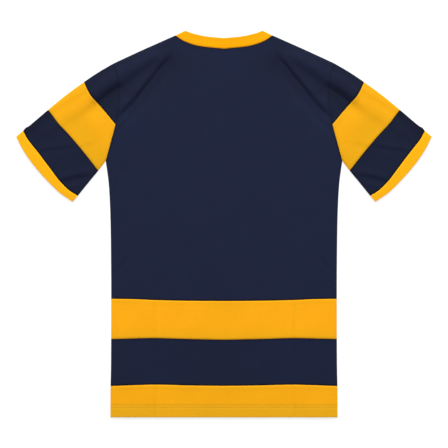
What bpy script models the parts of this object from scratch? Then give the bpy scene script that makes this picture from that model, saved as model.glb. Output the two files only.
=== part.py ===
"""Short-sleeved sports jersey with hoops, laid flat on a surface with its back up.

Metres, +Z up. The neck points to +Y and the origin is under the middle of the jersey, on the surface.
The wearer's left is at -X. Every piece starts as the middle of a layer of cloth, which a Solidify
modifier makes into a wall. The front lies flat on the surface and the back lies on the front.
"""

from collections import namedtuple

import bmesh
import bpy
import numpy as np

# Sizes, in millimetres
MM = 0.001
CLOTH = 1.2  # thickness of one layer
SEAM_GAP = 0.3  # between neighbouring pieces
CAP_TIP_GAP = 0.35  # from the corner of two seams to the tip of the sleeve cap
AIR = 1.6  # how far the back rises over the front, away from the closed edges
EDGE_ROLL = 24.0  # how far in from a closed edge the air is complete
FOLD_RADIUS = 1.2  # of the cloth's middle, where a sleeve or the neck band turns over

FRONT_Z = CLOTH / 2  # middle of the front layer
EDGE_Z = 1.5 * CLOTH + SEAM_GAP  # middle of the back layer at a closed edge
FOLD_INSET = FOLD_RADIUS + CLOTH / 2  # from the outline to where a fold starts to turn
ARC_REACH = 4 / 3  # of a radius, for the handles of a curve that turns right over
MERGE = 0.001  # points of a grid that are closer than this are one

# Grid steps of the pieces
BACK_STEPS = {"side": 9, "arm_low": 5, "arm_high": 13, "shoulder": 13, "sleeve": 7, "hoop": 3}
FRONT_STEPS = {"side": 7, "arm_low": 4, "arm_high": 7, "shoulder": 5, "sleeve": 7, "hoop": 1}
NECK_STEPS = 7  # from a shoulder to the middle of a neckline
BAND_STEPS = 2  # across the neck band and the cuffs
FOLD_STEPS = 4  # round a fold
CURVE_SAMPLES = 24  # for each point of a line
SIDE_POWER = 3  # how soon the bends of a grid's sides die out inside it
FOLD_TAPER = 0.22  # share of a fold's length over which each end fades out

# Colours, linear
NAVY = (0.0142, 0.0190, 0.0465)
GOLD = (0.955, 0.400, 0.010)

# Corners of one half in the plan: out from the centre line, and up from the hem
Point = namedtuple("Point", "out up")
HEM_CORNER = Point(227.0, 0.0)
ARMPIT = Point(236.4, 512.6)
HOOP_CORNER = Point(216.8, 585.2)  # where the sleeve's gold hoop meets cap and body
SHOULDER_TIP = Point(222.0, 706.6)
NECK_POINT = Point(97.0, 763.2)
BAND_POINT = Point(77.5, 772.6)
CAP_TOP = Point(280.0, 670.0)
HOOP_TOP = Point(351.4, 614.6)
CUFF_TOP = Point(401.8, 572.6)
CUFF_TIP = Point(415.4, 560.8)
HOOP_UNDER = Point(251.2, 493.1)
CUFF_UNDER = Point(292.4, 442.6)
CUFF_HEEL = Point(302.6, 430.8)
LENGTH = BAND_POINT.up

# Lines of one half, each a smooth curve through its points
SIDE = (
    HEM_CORNER,
    Point(226.8, 54.0),
    Point(225.8, 110.0),
    Point(225.4, 220.0),
    Point(225.7, 310.0),
    Point(227.0, 400.0),
    Point(230.2, 465.0),
    ARMPIT,
)
ARMHOLE = (
    ARMPIT,
    Point(226.4, 549.4),
    HOOP_CORNER,
    Point(211.0, 612.0),
    Point(209.2, 645.0),
    Point(212.0, 680.0),
    SHOULDER_TIP,
)
SHOULDER = (SHOULDER_TIP, Point(198.4, 717.6), Point(163.6, 733.6), Point(128.0, 749.5), NECK_POINT)
SLEEVE_TOP = (
    SHOULDER_TIP,
    Point(251.4, 689.2),
    CAP_TOP,
    Point(316.0, 643.6),
    HOOP_TOP,
    Point(387.0, 584.4),
    Point(396.0, 578.9),
    CUFF_TOP,
    CUFF_TIP,
)
UNDERARM = (ARMPIT, HOOP_UNDER, Point(271.5, 468.4), CUFF_UNDER, CUFF_HEEL)
CAP_SEAM = (CAP_TOP, Point(271.0, 650.6), Point(263.0, 638.6), Point(243.8, 617.6), HOOP_CORNER)
HOOP_SEAM = (
    HOOP_TOP,
    Point(340.0, 600.0),
    Point(329.6, 586.0),
    Point(306.8, 561.6),
    Point(280.0, 529.8),
    HOOP_UNDER,
)
CUFF_SEAM = (
    CUFF_TOP,
    Point(391.0, 553.6),
    Point(372.0, 529.6),
    Point(347.8, 497.6),
    Point(329.6, 473.6),
    Point(311.0, 454.6),
    CUFF_UNDER,
)
CUFF_EDGE = (
    CUFF_TIP,
    Point(401.2, 533.6),
    Point(380.2, 503.6),
    Point(354.0, 473.6),
    Point(328.0, 448.4),
    CUFF_HEEL,
)
BACK_NECK = (NECK_POINT, Point(79.0, 751.4), Point(49.0, 741.8), Point(0.0, 736.5))
BACK_NECK_EDGE = (BAND_POINT, Point(61.0, 766.8), Point(36.0, 761.3), Point(0.0, 757.8))
FRONT_NECK = (NECK_POINT, Point(84.0, 726.0), Point(54.0, 693.0), Point(0.0, 678.0))
FRONT_NECK_EDGE = (BAND_POINT, Point(65.0, 735.0), Point(41.0, 709.0), Point(0.0, 698.0))
HOOP_LINES = {
    "upper": (
        Point(0.0, 232.3),
        Point(70.0, 232.8),
        Point(137.0, 234.2),
        Point(177.0, 236.0),
        Point(225.5, 236.7),
    ),
    "middle": (
        Point(0.0, 155.2),
        Point(70.0, 156.6),
        Point(137.0, 158.5),
        Point(177.0, 157.7),
        Point(225.5, 156.5),
    ),
    "hem": (Point(0.0, 62.9), Point(70.0, 63.7), Point(132.0, 65.3), Point(177.0, 64.3), Point(226.2, 62.4)),
    "edge": (Point(0.0, 0.0), HEM_CORNER),
}

# The pieces of a sleeve: their ends along its top and under the arm
SleevePiece = namedtuple("SleevePiece", "name colour top_from top_to under_from under_to")
SLEEVE_PIECES = (
    SleevePiece("sleeve_cap", NAVY, SHOULDER_TIP, CAP_TOP, None, None),
    SleevePiece("sleeve_hoop_gold", GOLD, CAP_TOP, HOOP_TOP, ARMPIT, HOOP_UNDER),
    SleevePiece("sleeve_hoop_navy", NAVY, HOOP_TOP, CUFF_TOP, HOOP_UNDER, CUFF_UNDER),
    SleevePiece("cuff", GOLD, CUFF_TOP, CUFF_TIP, CUFF_UNDER, CUFF_HEEL),
)

# The hoops of the body: the line above and the line below
Hoop = namedtuple("Hoop", "name colour above below")
HOOPS = (
    Hoop("hoop_upper", GOLD, "upper", "middle"),
    Hoop("hoop_middle", NAVY, "middle", "hem"),
    Hoop("hoop_hem", GOLD, "hem", "edge"),
)

# The largest folds of the back layer, each along a smooth curve through its points. A fold drops across its
# curve, from a crest on the left to a trough on the right. The flank is half the width of the steep part, and
# the crest and the trough both die out over the spread
Fold = namedtuple("Fold", "drop flank spread points")
FOLDS = (
    # crease from the neck to the armpit
    Fold(4.0, 6.0, 26.0, (Point(101, 738), Point(138, 686), Point(178, 637), Point(222, 588))),
    # broad crease across the armhole seam, deepest on the sleeve cap
    Fold(3.8, 8.0, 32.0, (Point(111, 734), Point(179, 685), Point(229, 652), Point(289, 605))),
    Fold(2.8, 8.0, 20.0, (Point(197, 672), Point(235, 647), Point(263, 624))),
    # and on along the sleeve
    Fold(2.0, 7.0, 18.0, (Point(251, 635), Point(309, 593), Point(339, 573), Point(383, 553))),
    # crease along the top of the sleeve
    Fold(1.8, 5.0, 12.0, (Point(232, 702), Point(280, 651), Point(340, 615), Point(390, 580))),
    # short wrinkles of the lower sleeve
    Fold(1.6, 5.0, 13.0, (Point(290, 545), Point(330, 538), Point(376, 530))),
    Fold(2.8, 6.0, 14.0, (Point(240, 490), Point(295, 481), Point(338, 470))),
    # pressed crease down through the hoops
    Fold(1.0, 4.0, 9.0, (Point(137.5, -60), Point(137.5, 70), Point(136, 236))),
)


def blend(value, low, high):
    """Goes smoothly from 0 at low to 1 at high."""
    t = np.clip((value - low) / (high - low), 0, 1)
    return t * t * (3 - 2 * t)


def curve(points, first=None, last=None):
    """Closely spaced points of a smooth curve, or of its stretch between two of the points it is given by."""
    rows = np.array(points, float)
    begin = points.index(first) if first else 0
    stop = points.index(last) if last else len(points) - 1
    padded = np.vstack([2 * rows[0] - rows[1], rows, 2 * rows[-1] - rows[-2]])
    t = np.linspace(0, 1, CURVE_SAMPLES, endpoint=False)[:, None]
    runs = []
    for i in range(begin, stop):
        a, b, c, d = padded[i : i + 4]
        bend = (2 * a - 5 * b + 4 * c - d) * t**2 + (3 * b - a - 3 * c + d) * t**3
        runs.append(b + ((c - a) * t + bend) / 2)
    return np.vstack([*runs, rows[stop]])


def distances(line):
    """How far along a line each of its points is."""
    return np.concatenate([[0], np.cumsum(np.linalg.norm(np.diff(line, axis=0), axis=1))])


def spaced(line, steps):
    """Points at even distances along a line."""
    far = distances(line)
    at = np.linspace(0, far[-1], steps + 1)
    return np.column_stack([np.interp(at, far, line[:, k]) for k in (0, 1)])


def nearest(points, line):
    """Distance from each point to a line, and the share of the line's length that lies before that place.

    The third result is 1 for a point to the left of the line, and -1 to its right.
    """
    starts, steps = line[:-1], np.diff(line, axis=0)
    far = distances(line)
    lengths = np.diff(far)
    offset = points[..., None, :] - starts
    share = np.clip((offset * steps).sum(-1) / lengths**2, 0, 1)
    gap = np.linalg.norm(offset - share[..., None] * steps, axis=-1)
    turned = steps[:, 0] * offset[..., 1] - steps[:, 1] * offset[..., 0]
    best = gap.argmin(-1)
    at_best = [np.take_along_axis(values, best[..., None], -1)[..., 0] for values in (share, turned)]
    return gap.min(-1), (far[best] + at_best[0] * lengths[best]) / far[-1], np.sign(at_best[1])


def left_to_right(outer_first):
    """A line that starts at its outer end on the +X side, as a whole line from -X to +X."""
    return np.vstack([outer_first * (-1, 1), outer_first[::-1][1:]])


def shares_along(one, other):
    """Each point's share of the way along, the mean of two lines. A line of no length is left out."""
    far = [distances(line) for line in (one, other)]
    return np.mean([f / f[-1] for f in far if f[-1] > 0], axis=0)


def patch(start, end, first, last):
    """A grid between four boundary lines. The bends of first and last die out towards the middle."""
    across = shares_along(start, end)[None, :, None]
    along = shares_along(first, last)[:, None, None]
    ruled = (1 - along) * start[None] + along * end[None]
    first_bend, last_bend = first[:, None] - ruled[:, :1], last[:, None] - ruled[:, -1:]
    return ruled + (1 - across) ** SIDE_POWER * first_bend + across**SIDE_POWER * last_bend


def half_gap(border, inner):
    """Moves that take a border half the seam gap towards its inner neighbour, square to each of its runs."""
    runs = np.diff(border, axis=0)
    square = runs[:, ::-1] * (-1, 1)
    square /= np.linalg.norm(square, axis=-1, keepdims=True)
    both = np.vstack([square[:1], square]) + np.vstack([square, square[-1:]])
    moves = both * 2 / (both**2).sum(-1, keepdims=True)
    return moves * np.sign(((inner - border) * moves).sum()) * SEAM_GAP / 2


def draw_in_row(plan, row, columns=slice(None)):
    """Moves a stretch of the first or last row in by half the seam gap."""
    inner = plan[1 if row == 0 else row - 1, columns]
    plan[row, columns] += half_gap(plan[row, columns], inner)


def draw_in_column(plan, column, rows=slice(None)):
    """Moves a stretch of the first or last column in by half the seam gap."""
    inner = plan[rows, 1 if column == 0 else column - 1]
    plan[rows, column] += half_gap(plan[rows, column], inner)


def draw_from_fold(plan, fold_line, column):
    """Slides a column along its rows, as far in from the fold line as the cloth needs to turn over there."""
    step = plan[:, 1 if column == 0 else column - 1] - plan[:, column]
    step /= np.linalg.norm(step, axis=-1, keepdims=True)
    middles, runs = (fold_line[1:] + fold_line[:-1]) / 2, np.diff(fold_line, axis=0)
    near = np.linalg.norm(plan[:, column, None] - middles, axis=-1).argmin(-1)
    run = runs[near] / np.linalg.norm(runs[near], axis=-1, keepdims=True)
    squareness = np.abs(step[:, 0] * run[:, 1] - step[:, 1] * run[:, 0])
    plan[:, column] += step * FOLD_INSET / squareness[:, None]


CLOSED_EDGES = (
    np.vstack([curve(SIDE), curve(UNDERARM)[1:]]),
    np.vstack([curve(SLEEVE_TOP)[::-1], curve(SHOULDER)[1:], [BAND_POINT]]),
)


def back_height(plan):
    """Height of the middle of the back layer over each point of the plan."""
    half = np.stack([np.abs(plan[..., 0]), plan[..., 1]], axis=-1)
    inward = np.min([nearest(half, edge)[0] for edge in CLOSED_EDGES], axis=0)
    opened = np.sin(np.pi / 2 * np.clip(inward / EDGE_ROLL, 0, 1))
    lift = np.full(half.shape[:-1], AIR)
    for fold in FOLDS:
        away, along, left = nearest(half, curve(fold.points))
        taper = blend(along, 0, FOLD_TAPER) * blend(1 - along, 0, FOLD_TAPER)
        across = away * left
        step = np.tanh(across / fold.flank) * np.exp(-((across / fold.spread) ** 2))
        lift += fold.drop / 2 * taper * step
    return EDGE_Z + np.maximum(lift, 0) * opened


def on_back(plan):
    return np.concatenate([plan, back_height(plan)[..., None]], axis=-1)


def on_front(plan):
    return np.concatenate([plan, np.full((*plan.shape[:-1], 1), FRONT_Z)], axis=-1)


def turn_over(low, high, inner):
    """The points round a fold, from its end on the front layer to its end on the back layer."""
    outward = high[:, :2] - inner[:, :2]
    length = np.linalg.norm(outward, axis=-1, keepdims=True)
    level = np.column_stack([outward / length, np.zeros(len(high))])
    sloped = np.column_stack([outward / length, (high[:, 2:] - inner[:, 2:]) / length])
    low_handle = low + level * FOLD_RADIUS * ARC_REACH
    high_handle = high + sloped * FOLD_RADIUS * ARC_REACH
    t = np.linspace(0, 1, FOLD_STEPS + 1)[1:-1, None, None]
    turned = (1 - t) ** 3 * low + 3 * (1 - t) ** 2 * t * low_handle + 3 * (1 - t) * t**2 * high_handle
    return np.swapaxes(turned + t**3 * high, 0, 1)


def cloth(name, colour):
    material = bpy.data.materials.new(f"{name}_cloth")
    material.use_nodes = True
    shader = material.node_tree.nodes["Principled BSDF"]
    shader.inputs["Base Color"].default_value = (*colour, 1)
    shader.inputs["Roughness"].default_value = 0.75
    shader.inputs["Metallic"].default_value = 0.0
    return material


def make_piece(name, grid, colour, ring=False):
    """A wall of cloth round a grid of points, up from the hem. A ring joins its last column to its first."""
    rows, columns = grid.shape[:2]
    mesh = bpy.data.meshes.new(name)
    shape = bmesh.new()
    corners = [shape.verts.new(p) for p in ((grid - (0, LENGTH / 2, 0)) * MM).reshape(-1, 3)]
    for i in range(rows - 1):
        for j in range(columns if ring else columns - 1):
            k = (j + 1) % columns
            cell = ((i, j), (i, k), (i + 1, k), (i + 1, j))
            shape.faces.new([corners[row * columns + column] for row, column in cell])
    bmesh.ops.remove_doubles(shape, verts=shape.verts, dist=MERGE * MM)
    shape.to_mesh(mesh)
    shape.free()
    mesh.materials.append(cloth(name, colour))
    mesh.shade_smooth()
    piece = bpy.data.objects.new(name, mesh)
    bpy.context.scene.collection.objects.link(piece)
    wall = piece.modifiers.new("wall", "SOLIDIFY")
    wall.thickness = CLOTH * MM
    wall.offset = 0
    wall.use_even_offset = True


def hoop_line(name, steps):
    """A line right across the body, with its points under those of the neckline and shoulders."""
    neck = np.linspace(0, NECK_POINT.out, NECK_STEPS + 1)
    shoulder = np.linspace(NECK_POINT.out, SHOULDER_TIP.out, steps["shoulder"] + 1)
    line = curve(HOOP_LINES[name])
    out = np.concatenate([neck, shoulder[1:]])[::-1] / SHOULDER_TIP.out * line[-1, 0]
    return left_to_right(np.column_stack([out, np.interp(out, line[:, 0], line[:, 1])]))


def side_between(low, high, steps):
    """The side of the body from one height to another."""
    side = curve(SIDE)
    up = np.linspace(low, high, steps + 1)
    return np.column_stack([np.interp(up, side[:, 1], side[:, 0]), up])


def body_plan(neckline, steps):
    """The plan of the back or the front, from the upper hoop to the shoulders and the neckline."""
    neck = spaced(curve(neckline), NECK_STEPS)
    shoulder = spaced(curve(SHOULDER), steps["shoulder"])
    end = left_to_right(np.vstack([shoulder, neck[1:]]))
    start = hoop_line("upper", steps)
    side = side_between(start[-1, 1], ARMPIT.up, steps["side"])
    arm_low = spaced(curve(ARMHOLE, last=HOOP_CORNER), steps["arm_low"])
    arm_high = spaced(curve(ARMHOLE, first=HOOP_CORNER), steps["arm_high"])
    last = np.vstack([side, arm_low[1:], arm_high[1:]])
    plan = patch(start, end, last * (-1, 1), last)
    draw_in_row(plan, 0)
    draw_in_row(plan, len(plan) - 1, slice(steps["shoulder"], -steps["shoulder"]))
    for column in (0, len(end) - 1):
        draw_in_column(plan, column, slice(steps["side"], None))
    return plan


def hoop_plan(hoop, steps):
    start, end = hoop_line(hoop.below, steps), hoop_line(hoop.above, steps)
    side = side_between(start[-1, 1], end[-1, 1], steps["hoop"])
    plan = patch(start, end, side * (-1, 1), side)
    draw_in_row(plan, len(plan) - 1)
    if hoop.below != "edge":
        draw_in_row(plan, 0)
    return plan


def sleeve_plan(piece, steps):
    """The plan of one layer of a sleeve piece, from the body outwards and from its top to the underarm."""
    high, low = steps["arm_high"], steps["arm_low"]
    armhole_high = spaced(curve(ARMHOLE, first=HOOP_CORNER), high)[::-1]
    armhole_low = spaced(curve(ARMHOLE, last=HOOP_CORNER), low)[::-1]
    cap_seam = spaced(curve(CAP_SEAM), high)
    hoop_seam = spaced(curve(HOOP_SEAM), high + low)
    cuff_seam = spaced(curve(CUFF_SEAM), high + low)
    start, end = {
        "sleeve_cap": (armhole_high, cap_seam),
        "sleeve_hoop_gold": (np.vstack([cap_seam, armhole_low[1:]]), hoop_seam),
        "sleeve_hoop_navy": (hoop_seam, cuff_seam),
        "cuff": (cuff_seam, spaced(curve(CUFF_EDGE), high + low)),
    }[piece.name]
    rows = BAND_STEPS if piece.name == "cuff" else steps["sleeve"]
    top = spaced(curve(SLEEVE_TOP, piece.top_from, piece.top_to), rows)
    if piece.under_from:
        under = spaced(curve(UNDERARM, piece.under_from, piece.under_to), rows)
    else:
        under = np.repeat(start[-1:], rows + 1, axis=0)
    plan = patch(start, end, top, under)
    draw_from_fold(plan, curve(SLEEVE_TOP), 0)
    draw_in_row(plan, 0)
    if piece.name != "cuff":
        draw_in_row(plan, rows)
    if not piece.under_from:
        inward = plan[:, -2].mean(axis=0) - start[-1]
        plan[:, -1] = start[-1] + inward / np.linalg.norm(inward) * CAP_TIP_GAP
    return plan


def make_body():
    for layer, neckline, steps, lay in (
        ("back", BACK_NECK, BACK_STEPS, on_back),
        ("front", FRONT_NECK, FRONT_STEPS, on_front),
    ):
        make_piece(f"{layer}_body", lay(body_plan(neckline, steps)), NAVY)
        for hoop in HOOPS:
            make_piece(f"{layer}_{hoop.name}", lay(hoop_plan(hoop, steps)), hoop.colour)


def make_sleeves():
    """Each piece of a sleeve goes once round it, over the top and back to the underarm."""
    for piece in SLEEVE_PIECES:
        high = on_back(sleeve_plan(piece, BACK_STEPS))
        low = on_front(sleeve_plan(piece, FRONT_STEPS))
        low[:, 0, :2] = high[:, 0, :2]
        grid = np.concatenate([low[:, ::-1], turn_over(low[:, 0], high[:, 0], high[:, 1]), high], axis=1)
        for side, sign in (("left", -1), ("right", 1)):
            make_piece(f"{piece.name}_{side}", grid * (sign, 1, 1), piece.colour)


def make_neck_band():
    """A ring: its back lies on its front, and it turns over at both shoulders."""
    fold_line = np.linspace(NECK_POINT, BAND_POINT, BAND_STEPS + 1)
    layers = []
    for seam, edge in ((BACK_NECK, BACK_NECK_EDGE), (FRONT_NECK, FRONT_NECK_EDGE)):
        start = left_to_right(spaced(curve(seam), NECK_STEPS))
        end = left_to_right(spaced(curve(edge), NECK_STEPS))
        plan = patch(start, end, fold_line * (-1, 1), fold_line)
        draw_from_fold(plan, fold_line * (-1, 1), 0)
        draw_from_fold(plan, fold_line, len(start) - 1)
        draw_in_row(plan, 0)
        layers.append(plan)
    high, low = on_back(layers[0]), on_front(layers[1])
    low[:, [0, -1], :2] = high[:, [0, -1], :2]
    left = turn_over(low[:, 0], high[:, 0], high[:, 1])
    right = turn_over(low[:, -1], high[:, -1], high[:, -2])[:, ::-1]
    make_piece("neck_band", np.concatenate([high, right, low[:, ::-1], left], axis=1), GOLD, ring=True)


for old in list(bpy.data.objects):
    bpy.data.objects.remove(old)
make_body()
make_sleeves()
make_neck_band()
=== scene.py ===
"""Looks of a short-sleeved sports jersey with hoops, laid flat on a surface with its back up.

The CAD is in metres, with +Z up, the neck at +Y and the wearer's left at -X. The tables here are in
millimetres, as out from the centre line and up from the hem. Each piece of cloth is a thin wall of knit
that stands for one CAD node: the front lies on the surface and the back lies on the front.
"""

from collections import namedtuple

import bmesh
import bpy
import numpy as np
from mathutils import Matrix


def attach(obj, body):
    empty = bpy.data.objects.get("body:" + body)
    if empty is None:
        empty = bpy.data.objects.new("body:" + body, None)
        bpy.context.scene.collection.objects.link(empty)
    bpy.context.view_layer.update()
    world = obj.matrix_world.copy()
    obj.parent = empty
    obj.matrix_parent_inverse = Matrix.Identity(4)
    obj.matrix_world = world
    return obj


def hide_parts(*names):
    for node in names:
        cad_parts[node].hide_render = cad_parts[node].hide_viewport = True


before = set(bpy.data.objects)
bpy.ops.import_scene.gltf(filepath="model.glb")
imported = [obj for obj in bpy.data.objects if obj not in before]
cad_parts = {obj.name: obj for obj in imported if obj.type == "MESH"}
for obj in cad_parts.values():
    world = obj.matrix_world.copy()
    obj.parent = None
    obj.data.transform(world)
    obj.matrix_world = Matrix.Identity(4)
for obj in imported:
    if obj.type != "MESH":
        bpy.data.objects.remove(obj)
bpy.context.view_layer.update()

# Heights and thicknesses, in millimetres
MM = 0.001
KNIT = 0.5  # thickness of one layer
TURN_RADIUS = 0.3  # of the knit's middle, where an open edge is turned in
TURNED = TURN_RADIUS + KNIT / 2  # from an open edge to where the knit starts to turn
EDGE_TOP = 2.7  # top of the CAD's back layer at a closed edge
FRONT_Z = KNIT / 2  # middle of the front layer
EDGE_Z = EDGE_TOP - KNIT / 2  # middle of the back layer at a closed edge
AIR = 0.9  # how far the back rises over the front, away from the closed edges
LOWEST_LIFT = -1.1  # of the back layer's troughs
SOFTNESS = 0.05  # of the places where a layer comes to its lowest, in square millimetres
LAYER_STEP = KNIT + 0.04  # from the middle of one layer to that of the one on it, where they touch
EDGE_ROLL = 26.0  # how far in from a closed edge the air is complete
FOLD_RADIUS = (EDGE_Z - FRONT_Z) / 2  # of the knit's middle, where a sleeve or the neck band turns over
FOLD_INSET = FOLD_RADIUS + KNIT / 2  # from the outline to where a fold starts to turn
ARC_REACH = 4 / 3  # of a radius, for the handles of a curve that turns right over

# Seams, in millimetres
SEAM_GAP = 0.03  # between neighbouring pieces
CAP_TIP_GAP = 0.2  # from the corner of two seams to the tip of the sleeve cap
SEAM_WIDTH = 1.3  # half the width of the groove along a seam
SEWN_DROP = 0.8  # how far each layer comes to meet the other at a sewn edge
SEAM_SHARE = 0.65  # depth of a seam's groove, as a share of that, where navy meets gold
SEWN_WIDTH = 1.7  # how soon the layers part, in from a sewn edge
ALLOWANCE = (2.0, 6.0, 9.0)  # where the cloth over a seam allowance is up, starts to fall and is down
ALLOWANCE_RISE = 0.1
SEAM_REACH = 10.0  # how far from a seam or a sewn edge its relief is felt
HEM_DEPTH = 26.0  # how far the hem is turned up
HEM_BLEND = (-2.0, 3.0)  # where its colour starts to change and is the hoop's, from there
BAND_DEPTH = 16.0  # how far the neck band and the cuffs are turned in
TURN_INSET = 0.4  # how far the ends of a turned-in layer stop short of its sides

# Stitching, in millimetres
STITCH_ROWS = (19.5, 24.5)  # up from the hem, as a twin needle sews them
STITCH_LENGTH = 2.6
STITCH_PITCH = 3.2
THREAD_RADIUS = 0.2
THREAD_RINGS = 7  # along a stitch
THREAD_SIDES = 6
THREAD_SINK = 0.75  # how far the ends of a stitch go into the cloth, in radii of the thread
STITCH_GROOVE = 0.24
STITCH_WIDTH = 1.2

# Grid steps, in millimetres
BACK_STEP = 2.5
FRONT_STEP = 4.5
SLEEVE_STEP = 2.5
BAND_STEP = 2.0
SMALLEST_STEP = 0.5  # next to a seam or a row of stitches
STEP_GROWTH = 0.3  # of a step, for each millimetre away from there
FOLD_STEPS = 8  # round a fold
TURN_STEPS = 6  # round an open edge
CURVE_SAMPLES = 12  # for each point of a line
SIDE_POWER = 3  # how soon the bends of a grid's sides die out inside it
FOLD_TAPER = 0.22  # share of a fold's length over which each end fades out
MERGE = 0.15  # points of a grid that are closer than this are one
RIM_MERGE = MERGE / 5  # points of a finished wall that are closer than this are one
CAP_SHARE = 0.62  # share of the sleeve's width, from its top, whose columns carry on from the cap's

# Camera and light
FRAME_WIDTH = 0.895  # what the picture's width shows at the height of the cloth, in metres
LENS = 100.0
SENSOR = 36.0
KEY_DISTANCE = 9.0  # metres
KEY_HEIGHT = np.radians(34)  # above the surface, as seen from the jersey
KEY_SIZE = 4.0  # metres
KEY_POWER = 1170.0
WORLD_STRENGTH = 0.30
FLOOR_REACH = 20.0  # metres from its middle to its edges
FLOOR_Z = -0.0003  # metres, so that it isn't level with the front's lowest faces
FLOOR_GLOW = 0.76  # so that hardly any shadow shows on it

# Corners of one half in the plan: out from the centre line, and up from the hem
Point = namedtuple("Point", "out up")
HEM_CORNER = Point(227.0, 0.0)
ARMPIT = Point(236.4, 512.6)
HOOP_CORNER = Point(216.8, 585.2)  # where the sleeve's gold hoop meets cap and body
SHOULDER_TIP = Point(222.0, 706.6)
NECK_POINT = Point(97.0, 763.2)
BAND_POINT = Point(77.5, 772.6)
CAP_TOP = Point(280.0, 670.0)
HOOP_TOP = Point(351.4, 614.6)
CUFF_TOP = Point(401.8, 572.6)
CUFF_TIP = Point(415.4, 560.8)
HOOP_UNDER = Point(251.2, 493.1)
CUFF_UNDER = Point(292.4, 442.6)
CUFF_HEEL = Point(302.6, 430.8)
LENGTH = BAND_POINT.up

# Lines of one half, each a smooth curve through its points
SIDE = (
    HEM_CORNER,
    Point(226.8, 54.0),
    Point(225.8, 110.0),
    Point(225.4, 220.0),
    Point(225.7, 310.0),
    Point(227.0, 400.0),
    Point(230.2, 465.0),
    ARMPIT,
)
ARMHOLE = (
    ARMPIT,
    Point(226.4, 549.4),
    HOOP_CORNER,
    Point(211.0, 612.0),
    Point(209.2, 645.0),
    Point(212.0, 680.0),
    SHOULDER_TIP,
)
SHOULDER = (SHOULDER_TIP, Point(198.4, 717.6), Point(163.6, 733.6), Point(128.0, 749.5), NECK_POINT)
SLEEVE_TOP = (
    SHOULDER_TIP,
    Point(251.4, 689.2),
    CAP_TOP,
    Point(316.0, 643.6),
    HOOP_TOP,
    Point(387.0, 584.4),
    Point(396.0, 578.9),
    CUFF_TOP,
    CUFF_TIP,
)
UNDERARM = (ARMPIT, HOOP_UNDER, Point(271.5, 468.4), CUFF_UNDER, CUFF_HEEL)
CAP_SEAM = (CAP_TOP, Point(271.0, 650.6), Point(263.0, 638.6), Point(243.8, 617.6), HOOP_CORNER)
HOOP_SEAM = (
    HOOP_TOP,
    Point(340.0, 600.0),
    Point(329.6, 586.0),
    Point(306.8, 561.6),
    Point(280.0, 529.8),
    HOOP_UNDER,
)
CUFF_SEAM = (
    CUFF_TOP,
    Point(391.0, 553.6),
    Point(372.0, 529.6),
    Point(347.8, 497.6),
    Point(329.6, 473.6),
    Point(311.0, 454.6),
    CUFF_UNDER,
)
CUFF_EDGE = (
    CUFF_TIP,
    Point(401.2, 533.6),
    Point(380.2, 503.6),
    Point(354.0, 473.6),
    Point(328.0, 448.4),
    CUFF_HEEL,
)
BACK_NECK = (NECK_POINT, Point(79.0, 751.4), Point(49.0, 741.8), Point(0.0, 736.5))
BACK_NECK_EDGE = (BAND_POINT, Point(61.0, 766.8), Point(36.0, 761.3), Point(0.0, 757.8))
FRONT_NECK = (NECK_POINT, Point(84.0, 726.0), Point(54.0, 693.0), Point(0.0, 678.0))
FRONT_NECK_EDGE = (BAND_POINT, Point(65.0, 735.0), Point(41.0, 709.0), Point(0.0, 698.0))
HOOP_LINES = {
    "upper": (
        Point(0.0, 232.3),
        Point(70.0, 232.8),
        Point(137.0, 234.2),
        Point(177.0, 236.0),
        Point(225.5, 236.7),
    ),
    "middle": (
        Point(0.0, 155.2),
        Point(70.0, 156.6),
        Point(137.0, 158.5),
        Point(177.0, 157.7),
        Point(225.5, 156.5),
    ),
    "hem": (Point(0.0, 62.9), Point(70.0, 63.7), Point(132.0, 65.3), Point(177.0, 64.3), Point(226.2, 62.4)),
    "edge": (Point(0.0, 0.0), HEM_CORNER),
}

# Sleeve pieces: their ends along its top and under the arm, and the cloth that they are cut from
SleevePiece = namedtuple("SleevePiece", "name cloth top_from top_to under_from under_to")
SLEEVE_PIECES = (
    SleevePiece("sleeve_cap", "navy_knit", SHOULDER_TIP, CAP_TOP, None, None),
    SleevePiece("sleeve_hoop_gold", "gold_knit", CAP_TOP, HOOP_TOP, ARMPIT, HOOP_UNDER),
    SleevePiece("sleeve_hoop_navy", "navy_knit", HOOP_TOP, CUFF_TOP, HOOP_UNDER, CUFF_UNDER),
    SleevePiece("cuff", "cuff_trim", CUFF_TOP, CUFF_TIP, CUFF_UNDER, CUFF_HEEL),
)
SLEEVE_TURN = np.radians(-38.0)  # of the right sleeve's knit, from the body's

# Hoops of the body: the line above and the line below
Hoop = namedtuple("Hoop", "name cloth above below")
HOOPS = (
    Hoop("hoop_upper", "gold_knit", "upper", "middle"),
    Hoop("hoop_middle", "navy_knit", "middle", "hem"),
    Hoop("hoop_hem", "gold_knit", "hem", "edge"),
)

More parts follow.
